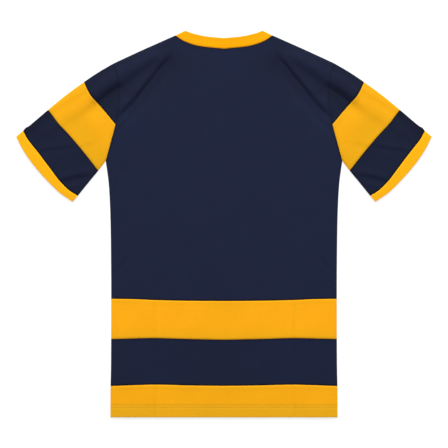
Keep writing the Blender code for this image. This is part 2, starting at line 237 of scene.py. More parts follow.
# Folds, each along a smooth curve through its points. A fold drops steeply across its curve, from a crest
# on the left to a trough on the right. The flank is half the width of the steep part, and the crest and
# the trough both die out over the spread
Fold = namedtuple("Fold", "drop flank spread points")
BACK_FOLDS = (
    # crease from the neck to the armpit, and a fainter one beside it
    Fold(
        5.0,
        4.2,
        26.0,
        ((101, 738), (119, 711), (138, 686), (158, 662), (178, 637), (198, 616), (222, 588)),
    ),
    Fold(2.2, 4.0, 14.0, ((112, 720), (138, 685), (158, 661), (182, 632))),
    Fold(1.4, 3.2, 14.0, ((143, 660), (159, 641), (179, 618), (199, 590), (215, 570))),
    # broad crease across the armhole seam, deepest on the sleeve cap
    Fold(
        4.8,
        9.0,
        34.0,
        ((111, 734), (159, 698), (179, 685), (199, 670), (229, 652), (249, 636), (289, 605)),
    ),
    Fold(3.8, 9.0, 26.0, ((197, 672), (221, 657), (235, 647), (249, 635), (263, 624))),
    # and on along the sleeve
    Fold(1.2, 8.0, 24.0, ((251, 635), (279, 612), (309, 593), (339, 573), (357, 562), (383, 553))),
    # crease along the top of the sleeve
    Fold(
        1.3,
        5.0,
        14.0,
        ((232, 702), (250, 682), (280, 651), (310, 633), (340, 615), (372, 592), (390, 580)),
    ),
    # short wrinkles of the lower sleeve
    Fold(1.4, 3.6, 10.0, ((290, 545), (310, 541), (330, 538), (350, 536), (376, 530))),
    Fold(3.0, 4.8, 12.0, ((240, 490), (265, 484), (295, 481), (310, 477), (338, 470))),
    Fold(0.9, 2.8, 7.0, ((268, 465), (284, 461), (298, 459), (316, 455))),
    Fold(0.5, 3.6, 10.0, ((256, 551), (270, 546), (284, 543), (300, 540))),
    # pressed crease down through the hoops
    Fold(0.9, 2.2, 7.0, ((137.5, -60), (137.5, 70), (136, 236))),
    # faint ripples above the hoops and at the sides
    Fold(0.6, 5.0, 9.0, ((106, 226), (108, 300), (105, 366))),
    Fold(0.5, 5.0, 9.0, ((68, 232), (70, 296), (67, 352))),
    Fold(0.9, 3.0, 8.0, ((186, 334), (206, 307), (224, 288))),
    Fold(0.8, 8.0, 18.0, ((150, 560), (178, 520), (212, 486))),
    Fold(0.4, 3.0, 5.0, ((14, 92), (15, 116), (14, 144))),
)
# Folds of the front layer, whose crests lift off the surface
FRONT_FOLDS = (
    Fold(0.8, 4.0, 9.0, ((112, 720), (156, 664), (204, 606))),
    Fold(0.7, 5.0, 11.0, ((118, 690), (150, 646), (196, 596))),
    Fold(0.7, 5.0, 11.0, ((232, 660), (282, 618), (356, 566))),
    Fold(0.5, 4.0, 8.0, ((258, 500), (292, 496), (334, 500))),
    Fold(0.5, 3.0, 7.0, ((137, -70), (137, 70), (136, 210))),
    Fold(0.4, 6.0, 12.0, ((84, 250), (90, 330), (82, 420))),
    Fold(0.5, 6.0, 12.0, ((150, 420), (176, 470), (214, 512))),
)
FOLD_REACH = 2.6  # spreads over which a fold is felt
# Slack that isn't a fold: waves across the whole back, in millimetres
Wave = namedtuple("Wave", "out_length up_length turn rise")
WAVES = (
    Wave(170.0, 260.0, 0.4, 0.20),
    Wave(95.0, 140.0, 2.1, 0.12),
    Wave(-120.0, 88.0, 4.0, 0.10),
    Wave(61.0, -97.0, 1.2, 0.06),
)


def blend(value, low, high):
    """Goes smoothly from 0 at low to 1 at high."""
    t = np.clip((value - low) / (high - low), 0, 1)
    return t * t * (3 - 2 * t)


def curve(points, first=None, last=None):
    """Closely spaced points of a smooth curve, or of its stretch between two of the points it is given by."""
    rows = np.array(points, float)
    begin = points.index(first) if first else 0
    stop = points.index(last) if last else len(points) - 1
    padded = np.vstack([2 * rows[0] - rows[1], rows, 2 * rows[-1] - rows[-2]])
    t = np.linspace(0, 1, CURVE_SAMPLES, endpoint=False)[:, None]
    runs = []
    for i in range(begin, stop):
        a, b, c, d = padded[i : i + 4]
        bend = (2 * a - 5 * b + 4 * c - d) * t**2 + (3 * b - a - 3 * c + d) * t**3
        runs.append(b + ((c - a) * t + bend) / 2)
    return np.vstack([*runs, rows[stop]])


def distances(line):
    """How far along a line each of its points is."""
    return np.concatenate([[0], np.cumsum(np.linalg.norm(np.diff(line, axis=0), axis=1))])


def placed(line, shares):
    """Points at shares of the way along a line."""
    far = distances(line)
    return np.column_stack([np.interp(shares * far[-1], far, column) for column in line.T])


def graded(length, step, fine=()):
    """Shares of the way along a length, whose steps are small next to the fine places."""
    at = [0.0]
    while at[-1] < length:
        away = min((abs(at[-1] - place) for place in fine), default=length)
        at.append(at[-1] + min(step, SMALLEST_STEP + away * STEP_GROWTH))
    return np.array(at) / at[-1]


def nearest(points, line, reach):
    """Distance from each point to a line, or the reach if that is less, and how far along the line it is.

    The third result is 1 to the left of the line, -1 to its right and 0 out of reach.
    """
    flat = points.reshape(-1, 2)
    gap, along, left = np.full(len(flat), float(reach)), np.zeros(len(flat)), np.zeros(len(flat))
    for start, end, before in zip(line[:-1], line[1:], distances(line)):
        low, high = np.minimum(start, end) - reach, np.maximum(start, end) + reach
        close = np.flatnonzero(((flat > low) & (flat < high)).all(axis=1))
        step, offset = end - start, flat[close] - start
        length = np.linalg.norm(step)
        share = np.clip(offset @ step / length**2, 0, 1)
        away = np.linalg.norm(offset - share[:, None] * step, axis=1)
        closer = away < gap[close]
        gap[close[closer]] = away[closer]
        along[close[closer]] = before + share[closer] * length
        left[close[closer]] = np.sign(step[0] * offset[closer, 1] - step[1] * offset[closer, 0])
    return tuple(values.reshape(points.shape[:-1]) for values in (gap, along, left))


def left_to_right(outer_first):
    """A line that starts at its outer end on the +X side, as a whole line from -X to +X."""
    return np.vstack([outer_first * (-1, 1), outer_first[::-1][1:]])


def shares_along(one, other):
    """Each point's share of the way along, the mean of two lines. A line of no length is left out."""
    far = [distances(line) for line in (one, other)]
    return np.mean([f / f[-1] for f in far if f[-1] > 0], axis=0)


def patch(start, end, first, last):
    """A grid between four boundary lines. The bends of first and last die out towards the middle."""
    across = shares_along(start, end)[None, :, None]
    along = shares_along(first, last)[:, None, None]
    ruled = (1 - along) * start[None] + along * end[None]
    first_bend, last_bend = first[:, None] - ruled[:, :1], last[:, None] - ruled[:, -1:]
    return ruled + (1 - across) ** SIDE_POWER * first_bend + across**SIDE_POWER * last_bend


def squeeze(lines, by):
    """Squeezes each line of points towards its last one, so that its first one moves that far along it."""
    for line in lines:
        far = distances(line)
        if far[-1] > by:
            line[:] = placed(line, (by + far * (1 - by / far[-1])) / far[-1])


def from_row(plan, row, by):
    """Squeezes the columns of a plan, to leave room outside its first or last row."""
    squeeze(np.swapaxes(plan if row == 0 else plan[::-1], 0, 1), by)


def from_column(plan, column, by, rows=slice(None)):
    """Squeezes rows of a plan, to leave room outside its first or last column."""
    squeeze((plan if column == 0 else plan[:, ::-1])[rows], by)


# Edges where the back and the front meet, and those of them that are sewn rather than folded
CLOSED_EDGES = (
    np.vstack([curve(SIDE), curve(UNDERARM)[1:]]),
    np.vstack([curve(SLEEVE_TOP)[::-1], curve(SHOULDER)[1:], [BAND_POINT]]),
)
SewnEdge = namedtuple("SewnEdge", "line open_at_start open_at_end")
SEWN_EDGES = (
    SewnEdge(CLOSED_EDGES[0], HEM_DEPTH, BAND_DEPTH),
    SewnEdge(curve(SHOULDER), 0.0, 0.0),
)
OPENING_BLEND = 12.0  # how far past an opening's turned-in layer the two layers have come together
# Seams of both layers, and how marked each is: 1 where navy meets gold
Seam = namedtuple("Seam", "line marked")
SEAMS = (
    Seam(curve(ARMHOLE, first=HOOP_CORNER), 0.3),
    Seam(curve(ARMHOLE, last=HOOP_CORNER), 1.0),
    *(Seam(curve(line), 1.0) for line in (CAP_SEAM, HOOP_SEAM, CUFF_SEAM)),
    *(Seam(curve(HOOP_LINES[name]), 1.0) for name in ("upper", "middle", "hem")),
)
NECK_SEAMS = {"back": Seam(curve(BACK_NECK), 1.0), "front": Seam(curve(FRONT_NECK), 1.0)}


def on_one_half(plan):
    return np.stack([np.abs(plan[..., 0]), plan[..., 1]], axis=-1)


def joined(half, layer):
    """How far a layer is drawn towards the other one, and its distance from the nearest seam."""
    sewn = np.zeros(half.shape[:-1])
    for edge in SEWN_EDGES:
        away, along, _ = nearest(half, edge.line, SEAM_REACH)
        closed = np.ones(half.shape[:-1])
        if edge.open_at_start:
            closed *= blend(along, edge.open_at_start, edge.open_at_start + OPENING_BLEND)
        if edge.open_at_end:
            left = distances(edge.line)[-1] - along
            closed *= blend(left, edge.open_at_end, edge.open_at_end + OPENING_BLEND)
        sewn = np.maximum(sewn, closed * np.exp(-((away / SEWN_WIDTH) ** 2)))
    seam, groove = from_seams(half, layer, SEAM_WIDTH)
    return SEWN_DROP * (1 - (1 - sewn) * (1 - SEAM_SHARE * groove)), seam


def from_seams(half, layer, width):
    """Distance to a layer's nearest seam, and how marked the seams are, which dies out over a width."""
    seams = (*SEAMS, NECK_SEAMS[layer])
    reach = max(SEAM_REACH, width * FOLD_REACH)
    gaps = [nearest(half, seam.line, reach)[0] for seam in seams]
    marks = [seam.marked * np.exp(-((gap / width) ** 2)) for seam, gap in zip(seams, gaps)]
    return np.min(gaps, axis=0), np.max(marks, axis=0)


def folded(half, folds):
    """What folds add to the height of a layer."""
    rise = np.zeros(half.shape[:-1])
    for fold in folds:
        line = curve(fold.points)
        away, along, left = nearest(half, line, fold.spread * FOLD_REACH)
        share = along / distances(line)[-1]
        taper = blend(share, 0, FOLD_TAPER) * blend(1 - share, 0, FOLD_TAPER)
        across = away * left
        step = np.tanh(across / fold.flank) * np.exp(-((across / fold.spread) ** 2))
        rise += fold.drop / 2 * taper * step
    return rise


def stitch_grooves(plan):
    return STITCH_GROOVE * sum(np.exp(-(((plan[..., 1] - up) / STITCH_WIDTH) ** 2)) for up in STITCH_ROWS)


def waves(plan):
    height = np.zeros(plan.shape[:-1])
    for wave in WAVES:
        lengths = plan[..., 0] / wave.out_length + plan[..., 1] / wave.up_length
        height += wave.rise * np.sin(2 * np.pi * lengths + wave.turn)
    return height


def opened(half):
    """How far the layers are apart: 0 at a closed edge and 1 away from it."""
    inward = np.min([nearest(half, edge, EDGE_ROLL)[0] for edge in CLOSED_EDGES], axis=0)
    return np.sin(np.pi / 2 * np.clip(inward / EDGE_ROLL, 0, 1))


def softly_above(height, lowest):
    """A height that comes smoothly to its lowest instead of going under it."""
    over = height - lowest
    return lowest + (over + np.sqrt(over**2 + SOFTNESS)) / 2


def back_height(plan):
    """Height of the middle of the back layer over each point of the plan."""
    half = on_one_half(plan)
    apart = opened(half)
    lift = softly_above(AIR + folded(half, BACK_FOLDS) + waves(plan), LOWEST_LIFT)
    drop, seam = joined(half, "back")
    up, falling, down = ALLOWANCE
    allowance = ALLOWANCE_RISE * blend(seam, 0, up) * (1 - blend(seam, falling, down))
    height = EDGE_Z + (lift + allowance) * apart - drop - stitch_grooves(plan)
    return softly_above(height, front_height(plan, half, apart) + LAYER_STEP)


def front_height(plan, half=None, apart=None):
    """Height of the middle of the front layer over each point of the plan."""
    half = on_one_half(plan) if half is None else half
    apart = opened(half) if apart is None else apart
    drop, _ = joined(half, "front")
    return FRONT_Z + np.maximum(folded(half, FRONT_FOLDS), 0) * apart + drop + stitch_grooves(plan)


def on_back(plan):
    return np.concatenate([plan, back_height(plan)[..., None]], axis=-1)


def on_front(plan):
    return np.concatenate([plan, front_height(plan)[..., None]], axis=-1)


def turn_over(low, high, inner):
    """The points round a fold, from its end on the front layer to its end on the back layer."""
    outward = high[:, :2] - inner[:, :2]
    length = np.linalg.norm(outward, axis=-1, keepdims=True)
    level = np.column_stack([outward / length, np.zeros(len(high))])
    sloped = np.column_stack([outward / length, (high[:, 2:] - inner[:, 2:]) / length])
    reach = (high[:, 2:] - low[:, 2:]) / 2 * ARC_REACH
    t = np.linspace(0, 1, FOLD_STEPS + 1)[1:-1, None, None]
    low_handle, high_handle = low + level * reach, high + sloped * reach
    turned = (1 - t) ** 3 * low + 3 * (1 - t) ** 2 * t * low_handle + 3 * (1 - t) * t**2 * high_handle
    return np.swapaxes(turned + t**3 * high, 0, 1)


def square_to(grid, ring):
    """Unit vectors square to a grid at its points."""
    rows = np.gradient(grid, axis=0)
    if ring:
        columns = np.roll(grid, -1, axis=1) - np.roll(grid, 1, axis=1)
    else:
        columns = np.gradient(grid, axis=1)
    square = np.cross(columns, rows)
    return square / np.linalg.norm(square, axis=-1, keepdims=True)


def turn_in(grid, depth, inside, ring=False):
    """Adds to a grid the cloth past its last row, which is turned in there and lies against the inside."""
    square = square_to(grid, ring) * inside
    far = np.linalg.norm(np.diff(grid[::-1], axis=0), axis=-1).mean(axis=1).cumsum()
    count = np.searchsorted(far, depth) + 1
    outward = grid[-1] - grid[-2]
    outward /= np.linalg.norm(outward, axis=-1, keepdims=True)
    rows = []
    for angle in np.linspace(0, np.pi, TURN_STEPS + 1)[1:-1]:
        moved = outward * np.sin(angle) + square[-1] * (1 - np.cos(angle))
        rows.append(grid[-1] + moved * TURN_RADIUS)
    rows += [grid[-1 - i] + square[-1 - i] * 2 * TURN_RADIUS for i in range(count + 1)]
    if not ring:
        for i, row in enumerate(rows):
            inset = TURN_INSET * min((i + 1) / TURN_STEPS, 1)
            length = distances(row)
            rows[i] = placed(row, (inset + length * (1 - 2 * inset / length[-1])) / length[-1])
    return np.concatenate([grid, rows])


CLOTH_MAP = "cloth"  # the pieces' UV map, in metres on the cloth
# The pieces' painted shade and painted highlights, as a factor on the cloth's colour, go in this attribute
PAINTED_SHADING_ATTRIBUTE = "tone"  # their attribute that the cloth's colour is scaled by
# Painted shade along each cloth's seams: how much darker it is there, and how far from them. A depth
# below 0 makes it lighter there, a painted highlight
Band = namedtuple("Band", "depth width")
PAINTED_SEAM_SHADES = {
    "navy_knit": Band(0.8, 2.6),
    "gold_knit": Band(0.07, 7.0),
    "gold_trim": Band(-0.02, 2.6),
    "cuff_trim": Band(-0.02, 2.6),
}
# Painted shade on the sleeve pieces and the navy hoop, and painted light on the gold hoops, each as a whole
PAINTED_PIECE_SHADING = {
    "sleeve_cap": 0.90,
    "sleeve_hoop_navy": 0.80,
    "sleeve_hoop_gold": 0.96,
    "hoop_upper": 1.07,
    "hoop_middle": 0.94,
    "hoop_hem": 1.03,
}
# Painted streaks down the hoops: painted shade on the pressed crease's outer side, a painted highlight on
# its inner side, and a broad painted shade at the centre
Streak = namedtuple("Streak", "out depth width")
PAINTED_STREAKS = (Streak(139.0, 0.035, 4.0), Streak(130.5, -0.02, 4.0), Streak(0.0, 0.03, 45.0))
# Painted shade where the back is a little darker: between the shoulder creases, along the closed edges,
# high and low on the sleeve, and low on the upper hoop
Shade = namedtuple("Shade", "cloth line depth width")
PAINTED_SHADES = (
    Shade("navy_knit", curve(((112, 708), (150, 676), (190, 662), (244, 636))), 0.24, 34.0),
    Shade("navy_knit", CLOSED_EDGES[0], 0.12, 2.4),
    Shade("navy_knit", CLOSED_EDGES[1], 0.12, 2.4),
    Shade("navy_knit", CLOSED_EDGES[1], 0.2, 14.0),
    Shade("navy_knit", curve(((350, 612), (372, 590), (398, 572))), 0.2, 16.0),
    Shade("gold_knit", curve(((296, 590), (272, 550), (250, 508))), 0.08, 24.0),
    Shade("gold_knit", curve(((0, 158), (110, 160), (226, 158))), 0.08, 16.0),
)
WALE = 0.0011  # metres from one column of knit stitches to the next
COURSE = 0.0009  # metres from one row of knit stitches to the next
RIB = 0.0021  # metres from one rib of the trim to the next
KNIT_RELIEF = 0.00012  # metres, as the next two
RIB_RELIEF = 0.00016
THREAD_RELIEF = 0.00004
NAVY = (0.0081, 0.0128, 0.0385)
GOLD = (0.90, 0.396, 0.003)
BAND_GOLD = (0.94, 0.385, 0.001)
CUFF_GOLD = (0.955, 0.445, 0.006)
HEM_GOLD = (0.79, 0.39, 0.006)
THREAD_GOLD = (0.9, 0.37, 0.012)
EVEN_POWERS = (1.0, 1.0, 1.0)
GOLD_POWERS = (1.0, 0.4, 0.0)  # gold fades mostly in its red, and not in its blue


class Knit:
    """The nodes of one cloth's material, built up call by call."""

    def __init__(self, name, colour, roughness, sheen, specular=0.12, powers=EVEN_POWERS):
        self.material = bpy.data.materials.new(name)
        self.material.use_nodes = True
        self.tree = self.material.node_tree
        self.shader = self.tree.nodes["Principled BSDF"]
        self.colour = colour
        self.powers = powers
        self.roughness = roughness
        self.shader.inputs["Specular IOR Level"].default_value = specular
        self.shader.inputs["Sheen Weight"].default_value = sheen
        self.shader.inputs["Sheen Roughness"].default_value = 0.5
        self.shader.inputs["Sheen Tint"].default_value = (*(0.5 + 0.5 * c for c in colour), 1)
        self.material.diffuse_color = (*colour, 1)

    def set_input(self, socket, value):
        if isinstance(value, bpy.types.NodeSocket):
            self.tree.links.new(value, socket)
        else:
            socket.default_value = value

    def math(self, operation, *values):
        node = self.tree.nodes.new("ShaderNodeMath")
        node.operation = operation
        for socket, value in zip(node.inputs, values):
            self.set_input(socket, value)
        return node.outputs["Value"]

    def cloth_place(self):
        """Places on the cloth in metres: across the wales, and along them."""
        uv = self.tree.nodes.new("ShaderNodeUVMap")
        uv.uv_map = CLOTH_MAP
        apart = self.tree.nodes.new("ShaderNodeSeparateXYZ")
        self.tree.links.new(uv.outputs["UV"], apart.inputs["Vector"])
        return apart.outputs["X"], apart.outputs["Y"]

    def noise(self, scale, detail=2.0):
        """Noise about 0.5 whose patches are about one over scale across, in metres."""
        place = self.tree.nodes.new("ShaderNodeTexCoord")
        node = self.tree.nodes.new("ShaderNodeTexNoise")
        node.inputs["Scale"].default_value = scale
        node.inputs["Detail"].default_value = detail
        self.tree.links.new(place.outputs["Object"], node.inputs["Vector"])
        return node.outputs["Fac"]

    def tone(self):
        """What the piece's colour is scaled by at each place: its painted shade and painted highlights."""
        node = self.tree.nodes.new("ShaderNodeAttribute")
        node.attribute_name = PAINTED_SHADING_ATTRIBUTE
        return node.outputs["Fac"]

    def about_one(self, value, spread):
        """A value from 0 to 1, as a factor that goes from 1 - spread to 1 + spread."""
        return self.math("MULTIPLY_ADD", value, 2 * spread, 1 - spread)

    def finish(self, factor, bump, bump_size, tint=None):
        """Colours the cloth by a factor, and raises it by a bump that is bump_size metres high.

        The factor is raised to a power for each of red, green and blue.
        """
        channels = self.tree.nodes.new("ShaderNodeCombineXYZ")
        for socket, power in zip(channels.inputs, self.powers):
            self.set_input(socket, self.math("POWER", factor, power))
        scaled = self.tree.nodes.new("ShaderNodeVectorMath")
        scaled.operation = "MULTIPLY"
        if tint is None:
            scaled.inputs[0].default_value = self.colour
        else:
            self.tree.links.new(tint, scaled.inputs[0])
        self.tree.links.new(channels.outputs["Vector"], scaled.inputs[1])
        self.tree.links.new(scaled.outputs["Vector"], self.shader.inputs["Base Color"])
        rough = self.math("MULTIPLY", self.about_one(self.noise(70.0), 0.08), self.roughness)
        self.tree.links.new(rough, self.shader.inputs["Roughness"])
        raised = self.tree.nodes.new("ShaderNodeBump")
        raised.inputs["Strength"].default_value = 1.0
        raised.inputs["Distance"].default_value = bump_size
        self.tree.links.new(bump, raised.inputs["Height"])
        self.tree.links.new(raised.outputs["Normal"], self.shader.inputs["Normal"])
        return self.material


def stitch_pattern(knit, wale, course):
    """The height of plain knit, from 0 to 1: columns of small Vs."""
    across, along = knit.cloth_place()
    column = knit.math("DIVIDE", across, wale)
    arm = knit.math("PINGPONG", column, 0.5)
    row = knit.math("ADD", knit.math("DIVIDE", along, course), arm)
    loop = knit.math("MULTIPLY_ADD", knit.math("SINE", knit.math("MULTIPLY", row, 2 * np.pi)), 0.25, 0.25)
    round_wale = knit.math("SINE", knit.math("MULTIPLY", arm, np.pi))
    return knit.math("MULTIPLY_ADD", round_wale, 0.5, loop)


def plain_knit(name, colour, powers, hem_colour=None):
    """Matt polyester knit. hem_colour is for the part where the hem behind it doubles the cloth."""
    knit = Knit(name, colour, roughness=0.78, sheen=0.06, powers=powers)
    pattern = stitch_pattern(knit, WALE, COURSE)
    broad = knit.about_one(knit.noise(9.0, 3.0), 0.05)
    small = knit.about_one(knit.noise(240.0), 0.05)
    # Darker where the knit's pattern is low: the yarn's own pattern, and painted shade in the gaps between
    # loops
    thread = knit.about_one(pattern, 0.06)
    factor = knit.math("MULTIPLY", knit.math("MULTIPLY", broad, small), thread)
    # scaled by the piece's painted shade and painted highlights
    factor = knit.math("MULTIPLY", factor, knit.tone())
    tint = over_hem(knit, colour, hem_colour) if hem_colour else None
    return knit.finish(factor, pattern, KNIT_RELIEF, tint)


def over_hem(knit, colour, hem_colour):
    """The cloth's colour, and the hem's up to the depth that it is turned up."""
    place = knit.tree.nodes.new("ShaderNodeTexCoord")
    apart = knit.tree.nodes.new("ShaderNodeSeparateXYZ")
    knit.tree.links.new(place.outputs["Object"], apart.inputs["Vector"])
    share = knit.tree.nodes.new("ShaderNodeMapRange")
    share.interpolation_type = "SMOOTHSTEP"
    low, high = ((HEM_DEPTH - LENGTH / 2 + past) * MM for past in HEM_BLEND)
    share.inputs["From Min"].default_value = low
    share.inputs["From Max"].default_value = high
    knit.tree.links.new(apart.outputs["Y"], share.inputs["Value"])
    mix = knit.tree.nodes.new("ShaderNodeMix")
    mix.data_type = "RGBA"
    colours = [socket for socket in mix.inputs if socket.type == "RGBA"]
    colours[0].default_value = (*hem_colour, 1)
    colours[1].default_value = (*colour, 1)
    knit.tree.links.new(share.outputs["Result"], mix.inputs["Factor"])
    return next(socket for socket in mix.outputs if socket.type == "RGBA")


def rib_knit(name, colour, powers):
    """Ribbed trim: the ribs run across the band."""
    knit = Knit(name, colour, roughness=0.74, sheen=0.02, specular=0.05, powers=powers)
    across, along = knit.cloth_place()
    wave = knit.math("SINE", knit.math("MULTIPLY", across, 2 * np.pi / RIB))
    rib = knit.math("MULTIPLY_ADD", wave, 0.5, 0.5)
    row = knit.math("SINE", knit.math("MULTIPLY", along, 2 * np.pi / COURSE))
    height = knit.math("MULTIPLY_ADD", row, 0.12, rib)
    broad = knit.about_one(knit.noise(14.0, 3.0), 0.035)
    # Darker in the hollows between ribs and lighter on their crests: painted shade and painted light
    factor = knit.math("MULTIPLY", broad, knit.about_one(rib, 0.05))
    # scaled by the piece's painted shade and painted highlights
    factor = knit.math("MULTIPLY", factor, knit.tone())
    return knit.finish(factor, height, RIB_RELIEF)


def thread_material(name, colour):
    knit = Knit(name, colour, roughness=0.6, sheen=0.1)
    factor = knit.about_one(knit.noise(900.0), 0.08)
    return knit.finish(factor, knit.noise(2500.0), THREAD_RELIEF)


CLOTHS = {
    "navy_knit": plain_knit("navy_knit", NAVY, EVEN_POWERS),
    "gold_knit": plain_knit("gold_knit", GOLD, GOLD_POWERS, HEM_GOLD),
    "gold_trim": rib_knit("gold_trim", BAND_GOLD, GOLD_POWERS),
    "cuff_trim": rib_knit("cuff_trim", CUFF_GOLD, GOLD_POWERS),
    "gold_thread": thread_material("gold_thread", THREAD_GOLD),
}


def add_object(name, points, faces, cloth):
    """A mesh object from points in millimetres, up from the hem, which rides on the jersey's one body."""
    mesh = bpy.data.meshes.new(name)
    mesh.from_pydata(((points - (0, LENGTH / 2, 0)) * MM).tolist(), [], faces)
    mesh.materials.append(CLOTHS[cloth])
    piece = bpy.data.objects.new(name, mesh)
    bpy.context.scene.collection.objects.link(piece)
    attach(piece, "root")
    return piece


def planar_map(grid, turn=0.0):
    """Places on cloth that lies flat, whose wales are turned from +Y by an angle."""
    x, y = grid[..., 0], grid[..., 1]
    return np.stack([x * np.cos(turn) + y * np.sin(turn), y * np.cos(turn) - x * np.sin(turn)], axis=-1)


def band_map(grid):
    """Places on a band: along its middle row, and across it."""
    middle = distances(grid[len(grid) // 3])
    across = distances(grid[:, grid.shape[1] // 4])
    return np.stack(np.meshgrid(middle, across), axis=-1)


def painted_shading_of(name, grid, cloth, layer):
    """Painted shade and painted highlights: what a cloth's colour is scaled by at the points of a piece."""
    half = on_one_half(grid)
    band = PAINTED_SEAM_SHADES[cloth]
    _, near = from_seams(half, layer, band.width)
    tone = 1 - band.depth * near
    for shade in PAINTED_SHADES:
        if shade.cloth == cloth and layer == "back":
            gap = nearest(half, shade.line, shade.width * FOLD_REACH)[0]
            tone *= 1 - shade.depth * np.exp(-((gap / shade.width) ** 2))
    if "hoop" in name and "sleeve" not in name:
        for streak in PAINTED_STREAKS:
            tone *= 1 - streak.depth * np.exp(-(((half[..., 0] - streak.out) / streak.width) ** 2))
    return tone * next((value for part, value in PAINTED_PIECE_SHADING.items() if part in name), 1.0)


def make_piece(name, grid, cloth, places, layer="back", ring=False):
    """A wall of knit round a grid of points. A ring joins its last column to its first."""
    rows, columns = grid.shape[:2]
    index = np.arange(rows * columns).reshape(rows, columns)
    if ring:
        index = np.concatenate([index, index[:, :1]], axis=1)
    cells = np.stack([index[:-1, :-1], index[:-1, 1:], index[1:, 1:], index[1:, :-1]], axis=-1).reshape(-1, 4)
    piece = add_object(f"{name}_cloth", grid.reshape(-1, 3), cells.tolist(), cloth)
    uv = piece.data.uv_layers.new(name=CLOTH_MAP)
    uv.uv.foreach_set("vector", (places.reshape(-1, 2)[cells.ravel()] * MM).astype(np.float32).ravel())
    # the cloth's painted shade and painted highlights, at each point
    tone = piece.data.attributes.new(PAINTED_SHADING_ATTRIBUTE, "FLOAT", "POINT")
    tone.data.foreach_set("value", painted_shading_of(name, grid, cloth, layer).astype(np.float32).ravel())
    shape = bmesh.new()
    shape.from_mesh(piece.data)
    bmesh.ops.remove_doubles(shape, verts=shape.verts, dist=MERGE * MM)
    shape.to_mesh(piece.data)
    shape.free()
    piece.data.shade_smooth()
    wall = piece.modifiers.new("wall", "SOLIDIFY")
    wall.thickness = KNIT * MM
    wall.offset = 0
    rim = piece.modifiers.new("rim", "BEVEL")
    rim.width = KNIT * MM / 4
    rim.segments = 2
    rim.limit_method = "ANGLE"
    rim.angle_limit = np.radians(60)
    weld = piece.modifiers.new("weld", "WELD")
    weld.merge_threshold = RIM_MERGE * MM
    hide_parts(name)
    return piece


def body_columns(step, neckline):
    """Where the columns of a layer are: shares of the shoulder from its tip, then of the neckline."""
    shoulder = graded(distances(curve(SHOULDER))[-1], step, fine=(0.0,))
    neck = graded(distances(curve(neckline))[-1], step)
    return shoulder, neck


def hoop_line(name, columns):
    """A line right across the body, with its points under those of the neckline and shoulders."""
    shoulder, neck = columns
    line = curve(HOOP_LINES[name])
    tip, point = SHOULDER_TIP.out, NECK_POINT.out
    out = np.concatenate([tip - (tip - point) * shoulder, point * (1 - neck[1:])]) / tip * line[-1, 0]
    return left_to_right(np.column_stack([out, np.interp(out, line[:, 0], line[:, 1])]))


def side_at(up):
    """Points of the body's side at given heights."""
    side = curve(SIDE)
    return np.column_stack([np.interp(up, side[:, 1], side[:, 0]), up])


def body_plan(neckline, step):
    """The plan of the back or the front, from the upper hoop to the shoulders and the neckline."""
    columns = body_columns(step, neckline)
    shoulder, neck = placed(curve(SHOULDER), columns[0]), placed(curve(neckline), columns[1])
    end = left_to_right(np.vstack([shoulder, neck[1:]]))
    start = hoop_line("upper", columns)
    low = start[-1, 1]
    side = side_at(low + (ARMPIT.up - low) * graded(ARMPIT.up - low, step, fine=(0.0,)))
    arm_low, arm_high = curve(ARMHOLE, last=HOOP_CORNER), curve(ARMHOLE, first=HOOP_CORNER)
    arm_low = placed(arm_low, graded(distances(arm_low)[-1], step))
    length = distances(arm_high)[-1]
    arm_high = placed(arm_high, graded(length, step, fine=(length,)))
    last = np.vstack([side, arm_low[1:], arm_high[1:]])
    plan = patch(start, end, last * (-1, 1), last)
    from_row(plan, 0, SEAM_GAP / 2)
    squeeze(np.swapaxes(plan[::-1, len(shoulder) - 1 : 1 - len(shoulder)], 0, 1), SEAM_GAP / 2)
    for column in (0, -1):
        from_column(plan, column, SEAM_GAP / 2, slice(len(side) - 1, None))
    return plan


def hoop_plan(hoop, step, neckline):
    columns = body_columns(step, neckline)
    start, end = hoop_line(hoop.below, columns), hoop_line(hoop.above, columns)
    depth = end[-1, 1] - start[-1, 1]
    fine = (*STITCH_ROWS, depth) if hoop.below == "edge" else (0.0, depth)
    side = side_at(start[-1, 1] + depth * graded(depth, step, fine))
    plan = patch(start, end, side * (-1, 1), side)
    from_row(plan, -1, SEAM_GAP / 2)
    from_row(plan, 0, TURNED if hoop.below == "edge" else SEAM_GAP / 2)
    return plan


def sleeve_plan(piece):
    """The plan of one layer of a sleeve piece, from the body outwards and from its top to the underarm."""
    top_arm, low_arm = curve(ARMHOLE, first=HOOP_CORNER)[::-1], curve(ARMHOLE, last=HOOP_CORNER)[::-1]
    high = graded(distances(top_arm)[-1], SLEEVE_STEP, fine=(0.0,))
    low_length = distances(low_arm)[-1]
    low = graded(low_length, SLEEVE_STEP, fine=(low_length,))
    cap_seam = placed(curve(CAP_SEAM), high)
    all_shares = np.concatenate([high * CAP_SHARE, CAP_SHARE + low[1:] * (1 - CAP_SHARE)])
    hoop_seam, cuff_seam = placed(curve(HOOP_SEAM), all_shares), placed(curve(CUFF_SEAM), all_shares)
    start, end = {
        "sleeve_cap": (placed(top_arm, high), cap_seam),
        "sleeve_hoop_gold": (np.vstack([cap_seam, placed(low_arm, low)[1:]]), hoop_seam),
        "sleeve_hoop_navy": (hoop_seam, cuff_seam),
        "cuff": (cuff_seam, placed(curve(CUFF_EDGE), all_shares)),
    }[piece.name]
    top = curve(SLEEVE_TOP, piece.top_from, piece.top_to)
    length = distances(top)[-1]
    if piece.name == "cuff":
        rows = graded(length, BAND_STEP, fine=(0.0,))
    else:
        rows = graded(length, SLEEVE_STEP, fine=(0.0, length))
    top = placed(top, rows)
    if piece.under_from:
        under = placed(curve(UNDERARM, piece.under_from, piece.under_to), rows)
    else:
        under = np.repeat(start[-1:], len(rows), axis=0)
    plan = patch(start, end, top, under)
    from_column(plan, 0, FOLD_INSET)
    if not piece.under_from:
        from_column(plan, -1, CAP_TIP_GAP)
    from_row(plan, 0, SEAM_GAP / 2)
    from_row(plan, -1, TURNED if piece.name == "cuff" else SEAM_GAP / 2)
    return plan


